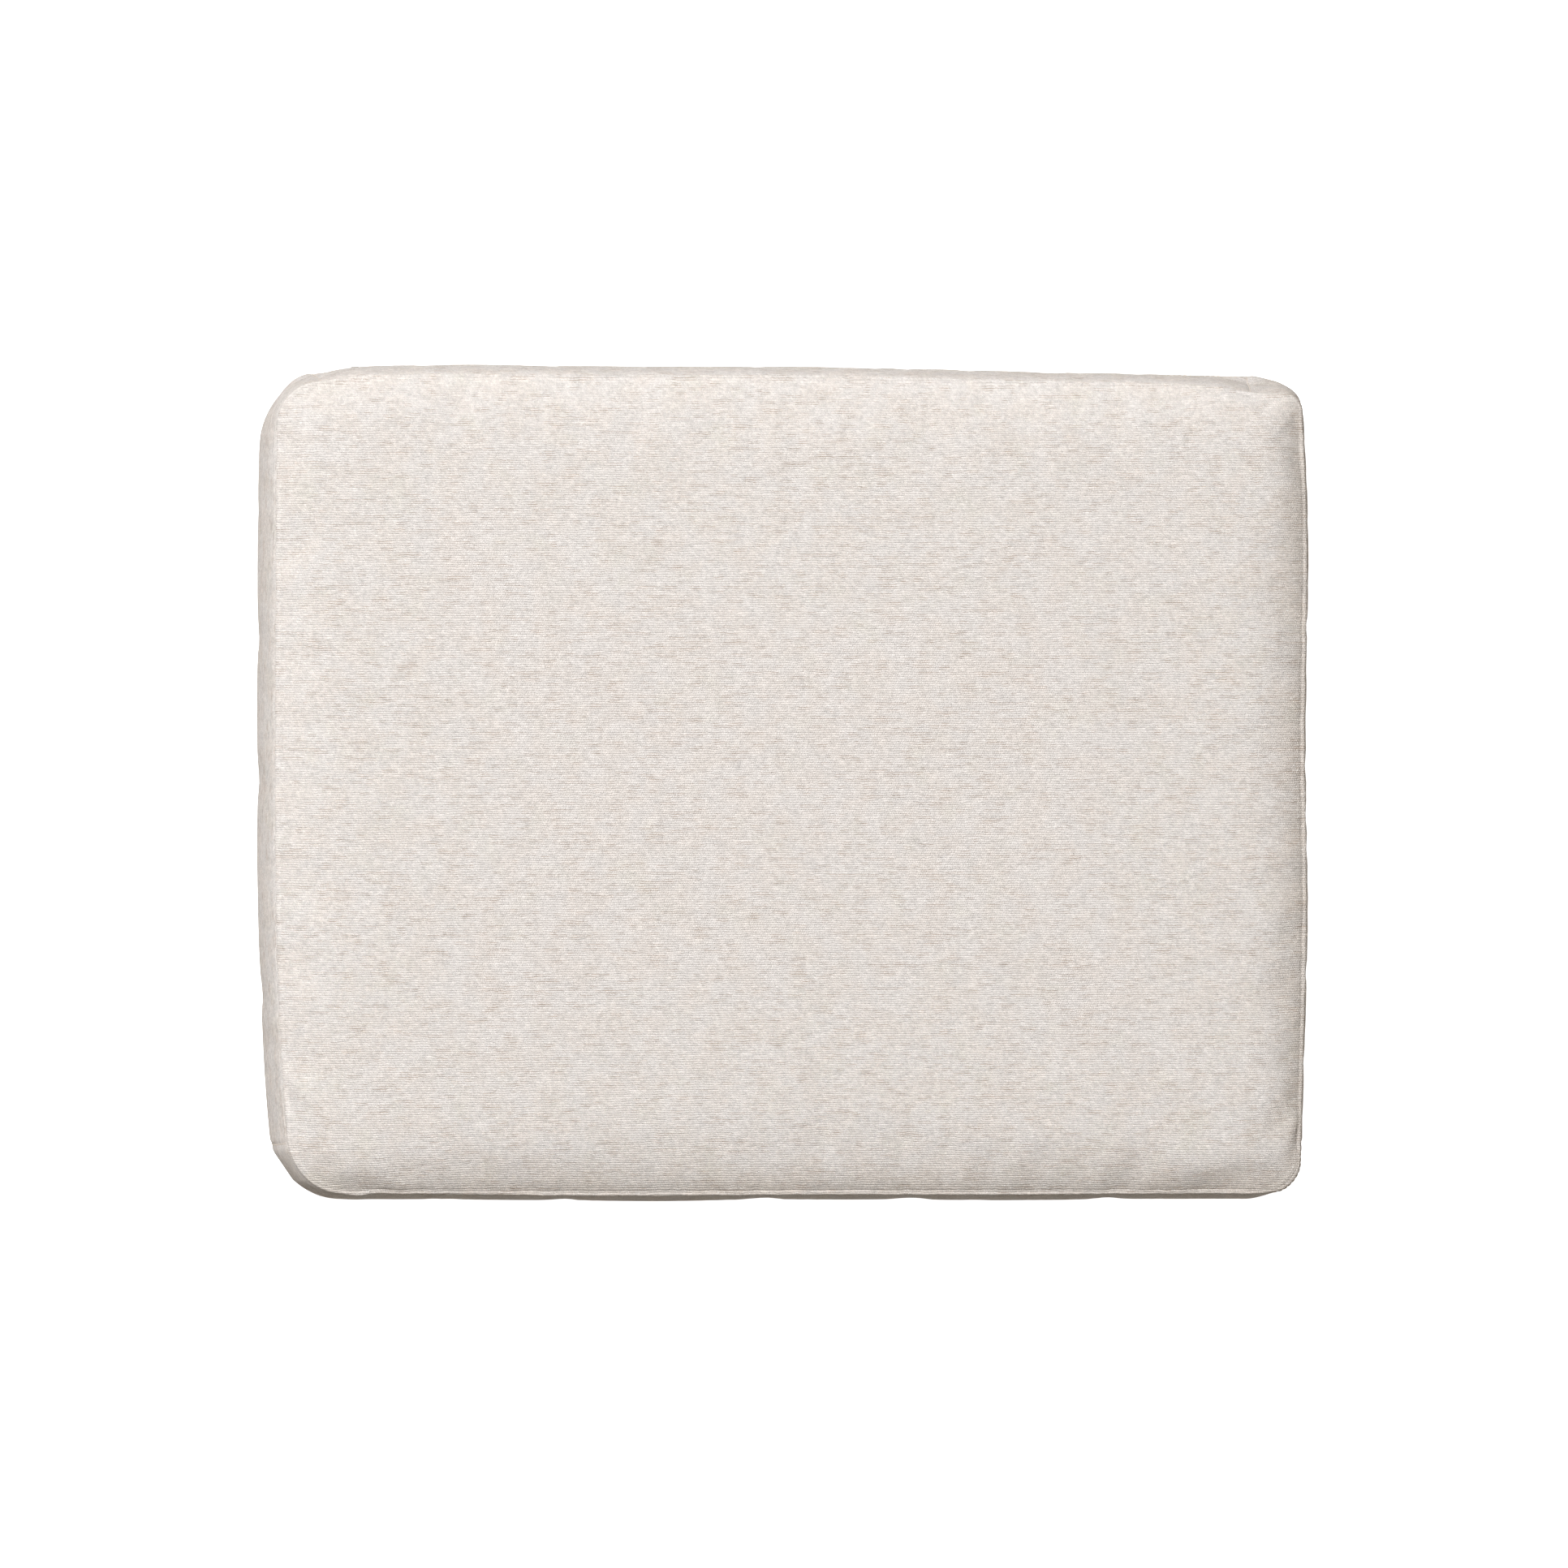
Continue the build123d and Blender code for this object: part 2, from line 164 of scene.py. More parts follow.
def hand_made(p):
    """The uneven cut of the real cover: the rear edge falls away to the right, the left edge
    draws in towards the front, and the sides are not quite straight."""
    q = p.copy()
    u = p[..., 0] / GIRTH[0][1]
    v = p[..., 1] / GIRTH[1][1]
    rear = np.clip((v + 0.2) / 1.2, 0, 1) ** 2
    left = np.clip(-u, 0, 1) ** 2
    right = np.clip(u, 0, 1) ** 2
    q[..., 1] -= 7.8 * MM * rear * np.clip((u + 0.3) / 1.3, 0, 1) ** 2
    q[..., 1] -= 3.6 * MM * rear * np.clip((-u - 0.6) / 0.4, 0, 1) ** 2
    blunt = np.exp(-(((p[..., 0] + 0.268) / 0.016) ** 2))
    blunt += 1.5 * np.exp(-(((p[..., 0] - 0.273) / 0.022) ** 2))
    q[..., 1] -= 2.2 * MM * rear * blunt
    q[..., 0] += 11.0 * MM * left * np.clip(-v, 0, 1) ** 2.4
    q[..., 0] += 2.0 * MM * left * np.clip(v - 0.4, 0, 1)
    q[..., 0] -= 3.2 * MM * right * np.abs(v) ** 4
    q[..., 1] += 2.0 * MM * np.clip((-u - 0.4) / 0.6, 0, 1) * np.clip(-v, 0, 1) ** 3
    q[..., 0] -= 0.7 * MM * right * np.sin(7.0 * v + 0.6)
    q[..., 1] += 0.3 * MM * np.sin(9.0 * u + 1.0) * np.abs(v) ** 3
    # small waves of the top seam, near the front corners
    front = smooth((-v - 0.80) / 0.16) * smooth((p[..., 2] - 55 * MM) / (30 * MM))
    wave = np.exp(-(((p[..., 0] + 0.250) / 0.016) ** 2)) * np.sin((p[..., 0] + 0.244) / 0.0052)
    wave += 0.8 * np.exp(-(((p[..., 0] - 0.276) / 0.013) ** 2)) * np.sin((p[..., 0] - 0.27) / 0.005)
    q[..., 1] += 0.8 * MM * wave * front
    return q


def at_the_zip(p, inset, recess, reach):
    """Draws the rear band in to the straight line of the zip, at y = recess."""
    height = np.abs(p[..., 2] - MID_Z) - FOLD_EDGE
    weight = (1 - smooth(height / reach)) * smooth((0.290 - np.abs(p[..., 0])) / 0.024)
    weight = weight * (p[..., 1] > 0.19)
    q = p.copy()
    q[..., 1] += weight * (recess - inset - p[..., 1])
    return q


def panel_height(x, y, distance, inset, share):
    """How far a panel stands off the plane of its seam."""
    u = np.clip(np.abs(x) / (SEAM[0][1] - inset), 0, 1)
    v = np.clip(np.abs(y) / (SEAM[1][1] - inset), 0, 1)
    edge = EDGE_RISE / PANEL_RISE
    roll = 1 - (1 - np.clip(distance / ROLL_WIDTH, 0, 1)) ** 2.4
    roll = (1 - edge) * roll + edge * (1 - np.exp(-distance / EDGE_REACH))
    return share * roll + (1 - share) * (1 - u**2) * (1 - v**2)


def ridge(distance):
    """The raised edge of a panel beside its seam, over the seam allowances."""
    t = np.clip(distance / RIDGE_WIDTH, 0, 1)
    hump = RIDGE_HEIGHT * np.sin(math.pi * t) ** 0.8
    return hump - GROOVE_DEPTH * np.exp(-(((distance - GROOVE_AT) / (0.7 * MM)) ** 2))


class Layout:
    """How finely a panel is divided: cells along each side, and rings in from the seam."""

    def __init__(self, cells_x, cells_y, fine_rings, coarse_rings):
        self.steps = [crowded(np.linspace(0, 1, n + 1)) for n in (cells_x, cells_y)]
        self.s = np.concatenate([k + self.steps[k % 2][:-1] for k in range(4)])
        fine = np.linspace(0, 4.5 * MM, fine_rings)
        rest = (np.arange(1, coarse_rings + 1) / coarse_rings) ** 1.6
        self.rings = np.concatenate([fine, fine[-1] + (INNER_INSET - fine[-1]) * rest])


FINE = Layout(176, 138, 16, 12)
PLAIN = Layout(88, 70, 3, 9)


def inner_limits(axis):
    return SEAM[axis][0] + INNER_INSET, SEAM[axis][1] - INNER_INSET


def panel_form(layout, inset, top, ridged=False):
    """Points of a panel drawn in by inset: rings from the seam inwards, then an even grid."""
    x = inner_limits(0)
    y = inner_limits(1)
    share = ROLL_SHARE if top else 1.0
    edge = along(outline(SEAM, SEAM_RADII, inset), layout.s)
    corners = np.array([(x[0], y[0]), (x[1], y[0]), (x[1], y[1]), (x[0], y[1])])
    k = layout.s.astype(int)
    w = (layout.s - k)[:, None]
    middle = corners[k] * (1 - w) + corners[(k + 1) % 4] * w
    tangent = np.roll(edge, -1, 0) - np.roll(edge, 1, 0)
    inward = np.stack([-tangent[:, 1], tangent[:, 0]], 1)
    inward /= np.linalg.norm(inward, axis=1)[:, None]
    way = middle - edge
    depth = np.sum(way * inward, 1)
    d = layout.rings[:, None]
    part = d / INNER_INSET
    w = (1 - smooth(part)) * np.minimum(d / depth, 1) + smooth(part) * part
    plan = edge[None] + way[None] * w[..., None]
    height = PANEL_RISE * panel_height(plan[..., 0], plan[..., 1], d, inset, share)
    height = np.maximum(height - inset, 0)
    if ridged:
        height = height + ridge(d)
        lean = 0.5 * MM * np.sin(math.pi * np.clip(d / (2 * MM), 0, 1))
        plan = plan - inward[None] * lean[..., None]
    rings = np.concatenate([plan, height[..., None]], 2)
    gx = x[0] + (x[1] - x[0]) * layout.steps[0]
    gy = y[0] + (y[1] - y[0]) * layout.steps[1]
    gx, gy = np.meshgrid(gx, gy)
    height = PANEL_RISE * panel_height(gx, gy, INNER_INSET, inset, share)
    grid = np.stack([gx, gy, np.maximum(height - inset, 0)], 2)
    return [at_panel_height(p, inset, top) for p in (rings, grid)]


def at_panel_height(p, inset, top):
    if top:
        p[..., 2] = TOP_SEAM + p[..., 2]
    else:
        p[..., 2] = np.maximum(BOTTOM_SEAM - 1.4 * p[..., 2], inset)
    return hand_made(p)


def band_profile(t):
    """How far the band has puffed out at a height t, from the bottom seam, 0, to the top, 1."""
    puff = 1 - np.abs(2 * t - 1) ** 2.4
    tuck = np.exp(-((t / 0.018) ** 2)) + np.exp(-(((1 - t) / 0.018) ** 2))
    return puff - 0.10 * tuck


def band_row(s, t, inset, recess=FOLD_Y, reach=12 * MM):
    """One row of points round the band at a height t."""
    w = band_profile(t)
    seam = along(outline(SEAM, SEAM_RADII, inset), s)
    girth = along(outline(GIRTH, GIRTH_RADII, inset), s)
    z = np.full((len(s), 1), BOTTOM_SEAM + BAND_HEIGHT * t)
    p = hand_made(np.concatenate([seam * (1 - w) + girth * w, z], 1))
    return at_the_zip(p, inset, recess, reach)


def band_form(s, path, **zip_place):
    """Rows of points along a path of (height, inset) pairs."""
    return np.stack([band_row(s, t, inset, **zip_place) for t, inset in path])


def height_share(z):
    return (z - BOTTOM_SEAM) / BAND_HEIGHT


# ---------------------------------------------------------------- meshes
def mesh_piece(name, blocks, material, body="pad", sharp=50, replaced=()):
    """A welded mesh from blocks: (points, uv, round), where round says that the last column
    of a block meets its first."""
    points, faces, coords = [], [], []
    start = 0
    for grid, uv, is_round in blocks:
        rows, cols = grid.shape[:2]
        index = start + np.arange(rows * cols).reshape(rows, cols)
        if is_round:
            index = np.concatenate([index, index[:, :1]], 1)
            uv = np.concatenate([uv, uv[:, :1]], 1)
        quad = [(slice(0, -1), slice(0, -1)), (slice(0, -1), slice(1, None)),
                (slice(1, None), slice(1, None)), (slice(1, None), slice(0, -1))]
        faces.append(np.stack([index[q].ravel() for q in quad], 1))
        coords.append(np.stack([uv[q].reshape(-1, 2) for q in quad], 1))
        points.append(grid.reshape(-1, 3))
        start += rows * cols
    mesh = bpy.data.meshes.new(name)
    mesh.from_pydata(np.concatenate(points).tolist(), [], np.concatenate(faces).tolist())
    layer = mesh.uv_layers.new(name="cloth")
    layer.data.foreach_set("uv", np.concatenate(coords).ravel())
    work = bmesh.new()
    work.from_mesh(mesh)
    bmesh.ops.remove_doubles(work, verts=work.verts, dist=0.002 * MM)
    bmesh.ops.dissolve_degenerate(work, edges=work.edges, dist=0.001 * MM)
    bmesh.ops.recalc_face_normals(work, faces=work.faces)
    work.to_mesh(mesh)
    work.free()
    mesh.polygons.foreach_set("use_smooth", np.ones(len(mesh.polygons), bool))
    mesh.set_sharp_from_angle(angle=math.radians(sharp))
    mesh.materials.append(material)
    obj = bpy.data.objects.new(name, mesh)
    bpy.context.scene.collection.objects.link(obj)
    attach(obj, body)
    if replaced:
        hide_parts(*replaced)
    return obj


def tubes(paths, outs, radii, sides=6):
    """Blocks for round threads: paths and outs are (thread, point, xyz), radii (thread, point)."""
    ways = np.gradient(paths, axis=1)
    ways /= np.linalg.norm(ways, axis=2)[..., None]
    across = np.cross(ways, outs)
    across /= np.linalg.norm(across, axis=2)[..., None]
    up = np.cross(across, ways)
    turn = np.linspace(0, 2 * math.pi, sides, endpoint=False)
    blocks = []
    for path, side, top, radius in zip(paths, across, up, radii):
        ring = side[:, None] * np.cos(turn)[None, :, None]
        ring = ring + top[:, None] * np.sin(turn)[None, :, None]
        grid = path[:, None] + ring * radius[:, None, None]
        ends = [np.repeat(path[i][None, None], sides, 1) for i in (0, -1)]
        grid = np.concatenate([ends[0], grid, ends[1]])
        length = np.linspace(0, 1, len(grid))[:, None] * STITCH_PITCH
        uv = np.stack([np.repeat(length, sides, 1), np.zeros((len(grid), sides))], 2)
        blocks.append((grid, uv, True))
    return blocks


def stitch_blocks(centres, ways, outs, length):
    """Single stitches, bowed into the cloth at both ends."""
    t = np.linspace(-1, 1, 7)
    bow = -1.3 * THREAD_RADIUS * np.abs(t) ** 3
    paths = (centres[:, None] + ways[:, None] * (t * length / 2)[None, :, None]
             + outs[:, None] * bow[None, :, None])
    radii = np.broadcast_to(THREAD_RADIUS * (1 - 0.35 * np.abs(t) ** 4), paths.shape[:2])
    outs = np.broadcast_to(outs[:, None], paths.shape)
    return tubes(paths, outs, radii)


def flat_uv(grid):
    return grid[..., :2].copy()


def band_uv(path, grid):
    """Metres along the band and up it. BAND_SWELL is how much longer the puffed band is than
    it is high."""
    row = grid[len(grid) // 2]
    run = np.concatenate([[0], np.cumsum(np.linalg.norm(np.diff(row, axis=0), axis=1))])
    z = np.array([t for t, _ in path]) * BAND_HEIGHT * BAND_SWELL
    u, v = np.meshgrid(run, z)
    return np.stack([u, v], 2)


# ---------------------------------------------------------------- cloth simulation
def simulate_cover():
    """The puff of the filled cover: where points of a plain form go under pressure, as a
    search tree of the form's points and an array of moves."""
    top = panel_form(PLAIN, 0.0, True)
    bottom = panel_form(PLAIN, 0.0, False)
    heights = [(t, 0.0) for t in 0.5 - 0.5 * np.cos(np.linspace(0, math.pi, 15))]
    band = band_form(PLAIN.s, heights)
    band[0] = bottom[0][0]
    band[-1] = top[0][0]
    blocks = [(top[0], flat_uv(top[0]), True), (top[1], flat_uv(top[1]), False),
              (bottom[0], flat_uv(bottom[0]), True), (bottom[1], flat_uv(bottom[1]), False),
              (band, flat_uv(band), True)]
    form = mesh_piece("cover_form", blocks, bpy.data.materials.new("plain"))
    scene = bpy.context.scene
    rest = vertex_array(form.data)
    held = form.vertex_groups.new(name="held")
    seam = np.minimum(np.abs(rest[:, 2] - TOP_SEAM), np.abs(rest[:, 2] - BOTTOM_SEAM)) < 0.1 * MM
    near_zip = (rest[:, 1] > 0.19) & (np.abs(rest[:, 2] - MID_Z) < 14 * MM)
    held.add(np.nonzero(seam | near_zip)[0].tolist(), 1.0, "REPLACE")
    cloth = form.modifiers.new("cloth", "CLOTH")
    cloth.settings.quality = 6
    cloth.settings.mass = 0.35
    cloth.settings.tension_stiffness = 12
    cloth.settings.compression_stiffness = 6
    cloth.settings.shear_stiffness = 5
    cloth.settings.bending_stiffness = 0.4
    cloth.settings.shrink_min = -0.012
    cloth.settings.use_pressure = True
    cloth.settings.uniform_pressure_force = PRESSURE
    cloth.settings.vertex_group_mass = "held"
    cloth.settings.effector_weights.gravity = 0
    cloth.collision_settings.use_collision = False
    cloth.point_cache.frame_start = 1
    cloth.point_cache.frame_end = LAST_FRAME
    for number in range(1, LAST_FRAME + 1):
        scene.frame_set(number)
    swollen = form.evaluated_get(bpy.context.evaluated_depsgraph_get())
    moves = vertex_array(swollen.data) - rest
    scene.frame_set(1)
    size = np.linalg.norm(moves, axis=1)[:, None]
    moves = moves * PUFF_LIMIT / (size + PUFF_LIMIT)
    moves[np.abs(rest[:, 2] - MID_Z) < BAND_HEIGHT / 2] *= BAND_PUFF
    tree = KDTree(len(rest))
    for i, point in enumerate(rest):
        tree.insert(point, i)
    tree.balance()
    mesh = form.data
    bpy.data.objects.remove(form)
    bpy.data.meshes.remove(mesh)
    return tree, moves


def vertex_array(mesh):
    values = np.empty(len(mesh.vertices) * 3)
    mesh.vertices.foreach_get("co", values)
    return values.reshape(-1, 3)


PUFF = simulate_cover()


def puffed(grid, inset=0.0):
    """Moves points as the simulated cover moved near them, and keeps them above the floor."""
    if PUFF is None:
        return grid
    tree, moves = PUFF
    flat = grid.reshape(-1, 3)
    out = flat.copy()
    for i, point in enumerate(flat):
        near = tree.find_n(point, NEIGHBOURS)
        weights = [1 / (distance + 1.5 * MM) ** 2 for _, _, distance in near]
        total = sum(weights)
        out[i] += sum(moves[index] * (w / total) for (_, index, _), w in zip(near, weights))
    out[:, 2] = np.maximum(out[:, 2], inset)
    return out.reshape(grid.shape)


# ---------------------------------------------------------------- materials
def linear(red, green, blue):
    """A colour given as it looks on a screen, 0 to 255, as the renderer wants it."""
    shares = [c / 255 for c in (red, green, blue)]
    values = [c / 12.92 if c <= 0.04045 else ((c + 0.055) / 1.055) ** 2.4 for c in shares]
    return (*values, 1.0)


class Graph:
    """Short calls for building a material's nodes."""

    def __init__(self, name, colour, roughness):
        self.material = bpy.data.materials.new(name)
        self.material.use_nodes = True
        self.tree = self.material.node_tree
        self.shader = self.tree.nodes["Principled BSDF"]
        self.shader.inputs["Base Color"].default_value = colour
        self.shader.inputs["Roughness"].default_value = roughness

    def feed(self, value, socket):
        if isinstance(value, bpy.types.NodeSocket):
            self.tree.links.new(value, socket)
        else:
            socket.default_value = value

    def math(self, operation, a, b=0.0, c=0.0, clamp=False):
        node = self.tree.nodes.new("ShaderNodeMath")
        node.operation = operation
        node.use_clamp = clamp
        for value, socket in zip((a, b, c), node.inputs):
            self.feed(value, socket)
        return node.outputs[0]

    def span(self, value, low, high):
        """From 0 where value is low to 1 where it is high, with soft ends."""
        node = self.tree.nodes.new("ShaderNodeMapRange")
        node.interpolation_type = "SMOOTHSTEP"
        self.feed(value, node.inputs["Value"])
        node.inputs["From Min"].default_value = low
        node.inputs["From Max"].default_value = high
        return node.outputs["Result"]

    def vector(self, x, y, z=0.0):
        node = self.tree.nodes.new("ShaderNodeCombineXYZ")
        for value, socket in zip((x, y, z), node.inputs):
            self.feed(value, socket)
        return node.outputs[0]

    def noise(self, vector, scale, detail=2.0):
        node = self.tree.nodes.new("ShaderNodeTexNoise")
        self.feed(vector, node.inputs["Vector"])
        node.inputs["Scale"].default_value = scale
        node.inputs["Detail"].default_value = detail
        return node.outputs["Fac"]

    def white_noise(self, vector):
        node = self.tree.nodes.new("ShaderNodeTexWhiteNoise")
        node.noise_dimensions = "2D"
        self.feed(vector, node.inputs["Vector"])
        return node.outputs["Value"]

    def mix(self, factor, a, b, blend="MIX"):
        node = self.tree.nodes.new("ShaderNodeMix")
        node.data_type = "RGBA"
        node.blend_type = blend
        self.feed(factor, node.inputs[0])
        self.feed(a, node.inputs[6])
        self.feed(b, node.inputs[7])
        return node.outputs[2]

    def millimetres(self):
        """The cloth's own coordinates, along and across its ribs."""
        uv = self.tree.nodes.new("ShaderNodeUVMap")
        uv.uv_map = "cloth"
        parts = self.tree.nodes.new("ShaderNodeSeparateXYZ")
        self.feed(uv.outputs[0], parts.inputs[0])
        return [self.math("MULTIPLY", parts.outputs[i], 1000.0) for i in (0, 1)]

    def place(self):
        return self.tree.nodes.new("ShaderNodeTexCoord").outputs["Object"]

    def bump(self, height, distance, strength=1.0):
        node = self.tree.nodes.new("ShaderNodeBump")
        node.inputs["Strength"].default_value = strength
        node.inputs["Distance"].default_value = distance
        self.feed(height, node.inputs["Height"])
        self.feed(node.outputs[0], self.shader.inputs["Normal"])

    def colour(self, value):
        self.feed(value, self.shader.inputs["Base Color"])


RIB_PITCH = 1.315  # millimetres from rib to rib of the cover cloth
BEAD_PITCH = 1.3  # millimetres from bead to bead along a rib
FLECK = 0.7  # length of the finest specks of yarn, in millimetres


def chenille():
    """Cream ribbed cloth: rows of soft beads, each row half a bead along from the next. Painted
    shade makes it a little darker and warmer towards the front and the right edges, in place of the
    shade that falls on the rolled edges there."""
    g = Graph("chenille", linear(231, 223, 216), 0.95)
    g.shader.inputs["Sheen Weight"].default_value = 0.06
    g.shader.inputs["Sheen Roughness"].default_value = 0.5
    g.shader.inputs["Specular IOR Level"].default_value = 0.15
    u, v = g.millimetres()
    place = g.vector(u, v)
    drift = g.math("MULTIPLY", g.math("SUBTRACT", g.noise(place, 0.035), 0.5), 0.9)
    wobble = g.math("MULTIPLY", g.math("SUBTRACT", g.noise(place, 0.2, 1.0), 0.5), 0.7)
    row_at = g.math("ADD", g.math("DIVIDE", v, RIB_PITCH), g.math("ADD", drift, wobble))
    row = g.math("FLOOR", row_at)
    rib = g.math("SINE", g.math("MULTIPLY", g.math("FRACT", row_at), math.pi))
    shift = g.math("MULTIPLY", g.math("FLOORED_MODULO", row, 2.0), 0.5)
    uneven = g.math("MULTIPLY", g.noise(g.vector(u, g.math("MULTIPLY", row, 7.3)), 0.22), 1.6)
    bead_at = g.math("ADD", g.math("ADD", g.math("DIVIDE", u, BEAD_PITCH), shift), uneven)
    bead = g.math("SINE", g.math("MULTIPLY", g.math("FRACT", bead_at), math.pi))
    fuzz = g.noise(place, 2.4, 2.0)
    rib_soft = g.math("POWER", rib, 0.5)
    bead_part = g.math("MULTIPLY_ADD", g.math("POWER", bead, 0.7), 0.42, 0.58)
    pile = g.math("MULTIPLY", rib_soft, bead_part)
    height = g.math("ADD", pile, g.math("MULTIPLY", g.math("SUBTRACT", fuzz, 0.5), 1.6))

    patches = g.span(g.noise(place, 0.055, 1.0), 0.35, 0.65)
    tone = g.mix(patches, linear(235, 228, 222), linear(235, 230, 226))
    patches = g.span(g.noise(g.vector(v, u, 40.0), 0.06, 2.0), 0.5, 0.9)
    tone = g.mix(patches, tone, linear(232, 227, 219))
    gap = g.math("SUBTRACT", 1.0, g.span(pile, 0.05, 0.5))
    stretch = g.vector(g.math("MULTIPLY", u, 0.16), g.math("MULTIPLY", row, 5.1))
    broken = g.span(g.noise(stretch, 1.0), 0.3, 0.7)
    cloth = g.mix(g.math("MULTIPLY", gap, g.math("MULTIPLY_ADD", broken, 0.24, 0.04)), tone,
                  linear(178, 160, 143))
    stretch = g.vector(g.math("MULTIPLY", u, 0.085), g.math("MULTIPLY", row, 3.7))
    dash = g.span(g.noise(stretch, 1.0, 1.0), 0.56, 0.66)
    dash = g.math("MULTIPLY", dash, g.math("SUBTRACT", 1.0, g.span(rib, 0.25, 0.75)))
    cloth = g.mix(g.math("MULTIPLY", dash, 0.68), cloth, linear(172, 145, 122))
    yarn = g.white_noise(g.vector(row, g.math("FLOOR", bead_at)))
    grain = g.math("MULTIPLY_ADD", g.noise(place, 2.6, 2.0), 0.60, 0.70)
    fleck = g.white_noise(g.vector(g.math("FLOOR", g.math("DIVIDE", g.math("ADD", u, v), FLECK)),
                                   g.math("FLOOR", g.math("DIVIDE", v, RIB_PITCH / 2))))
    speck = g.math("MULTIPLY", grain, g.math("MULTIPLY_ADD", yarn, 0.10, 0.95))
    speck = g.math("MULTIPLY", speck, g.math("MULTIPLY_ADD", fleck, 0.16, 0.92))
    stretch = g.vector(g.math("MULTIPLY", u, 0.22), g.math("MULTIPLY", row, 9.1), 3.0)
    streak = g.noise(stretch, 1.0, 1.0)
    speck = g.math("MULTIPLY", speck, g.math("MULTIPLY_ADD", streak, 0.40, 0.80))
    cloth = g.mix(1.0, cloth, g.vector(speck, speck, speck), "MULTIPLY")
    # Painted shade: near the front and right edges the cloth colour is multiplied darker and
    # warmer, standing in for the shade on the rolled edges there.
    parts = g.tree.nodes.new("ShaderNodeSeparateXYZ")
    g.feed(g.place(), parts.inputs[0])
    right = g.span(parts.outputs[0], 0.270, 0.297)
    front = g.span(g.math("MULTIPLY", parts.outputs[1], -1.0), 0.204, 0.235)
    painted_shade = g.math("MAXIMUM", right, front)
    cloth = g.mix(painted_shade, cloth, g.mix(1.0, cloth, (0.87, 0.85, 0.82, 1.0), "MULTIPLY"))
    lint = g.span(g.noise(g.vector(u, v, 9.0), 1.5, 1.0), 0.62, 0.74)
    g.colour(g.mix(g.math("MULTIPLY", lint, 0.85), cloth, linear(252, 250, 247)))
    g.bump(height, 0.34 * MM)
    return g.material


def thread():
    """Twisted polyester thread: fine ribs across each stitch."""
    g = Graph("sewing_thread", linear(222, 211, 198), 0.6)
    twist = g.math("SINE", g.math("MULTIPLY", g.millimetres()[0], 14.0))
    spots = g.noise(g.place(), 900.0)
    g.colour(g.mix(g.math("MULTIPLY", spots, 0.5), linear(228, 218, 206), linear(196, 180, 162)))
    g.bump(twist, 0.04 * MM)
    return g.material


def tape_cloth():
    """Herringbone zip tape."""
    g = Graph("zip_tape_cloth", linear(212, 203, 192), 0.85)
    u, v = g.millimetres()
    lean = g.math("PINGPONG", v, 3.0)
    twill = g.math("SINE", g.math("MULTIPLY", g.math("ADD", u, lean), 9.0))
    shade = g.math("MULTIPLY_ADD", twill, 0.5, 0.5)
    g.colour(g.mix(shade, linear(196, 185, 171), linear(220, 211, 200)))
    g.bump(shade, 0.08 * MM)
    return g.material


def speckled(name, light, dark, roughness, scale, depth, detail=3.0):
    """A material with grain: two tones and a bump from one noise."""
    g = Graph(name, linear(*light), roughness)
    grain = g.noise(g.place(), scale, detail)
    g.colour(g.mix(g.span(grain, 0.35, 0.65), linear(*dark), linear(*light)))
    g.bump(grain, depth)
    return g.material


def zip_metal():
    """Satin plated metal, brushed along the zip and worn along its edges."""
    g = Graph("zip_metal_finish", linear(196, 192, 186), 0.34)
    g.shader.inputs["Metallic"].default_value = 1.0
    parts = g.tree.nodes.new("ShaderNodeSeparateXYZ")
    g.feed(g.place(), parts.inputs[0])
    x, y, z = parts.outputs
    brushed = g.noise(g.vector(g.math("MULTIPLY", x, 120.0), g.math("MULTIPLY", y, 2500.0),
                               g.math("MULTIPLY", z, 2500.0)), 1.0, 3.0)
    edge = g.tree.nodes.new("ShaderNodeNewGeometry").outputs["Pointiness"]
    worn = g.span(edge, 0.52, 0.60)
    base = g.mix(brushed, linear(100, 97, 92), linear(138, 134, 129))
    g.colour(g.mix(worn, base, linear(168, 165, 160)))
    g.feed(g.math("MULTIPLY_ADD", brushed, 0.20, 0.40), g.shader.inputs["Roughness"])
    g.bump(brushed, 0.02 * MM)
    return g.material


COVER = chenille()
THREAD = thread()
TAPE = tape_cloth()
METAL = zip_metal()
NYLON = speckled("zip_nylon", (226, 218, 207), (206, 196, 183), 0.38, 700, 0.02 * MM)
SATIN = speckled("label_satin", (244, 242, 238), (232, 229, 224), 0.35, 1500, 0.02 * MM)
LINER = speckled("liner_cloth", (240, 238, 233), (222, 219, 212), 0.9, 420, 0.12 * MM)
WADDING = speckled("wadding", (246, 245, 242), (230, 228, 223), 1.0, 160, 0.8 * MM, 6.0)
FOAM = speckled("foam_cells", (240, 226, 178), (214, 194, 138), 0.9, 800, 0.3 * MM)


# ---------------------------------------------------------------- the cover
def shell(layout, top, outer, inner, ridged):
    """A panel of cloth with both its faces and its cut edge."""
    blocks = []
    edges = []
    for inset, with_ridge in ((outer, ridged), (inner, False)):
        rings, grid = panel_form(layout, inset, top, with_ridge)
        plan = (flat_uv(rings), flat_uv(grid))
        rings, grid = puffed(rings, inset), puffed(grid, inset)
        blocks += [(rings, plan[0], True), (grid, plan[1], False)]
        edges.append((rings[0], plan[0][0]))
    rim = np.stack([edge for edge, _ in edges])
    blocks.append((rim, np.stack([uv for _, uv in edges]), True))
    return blocks


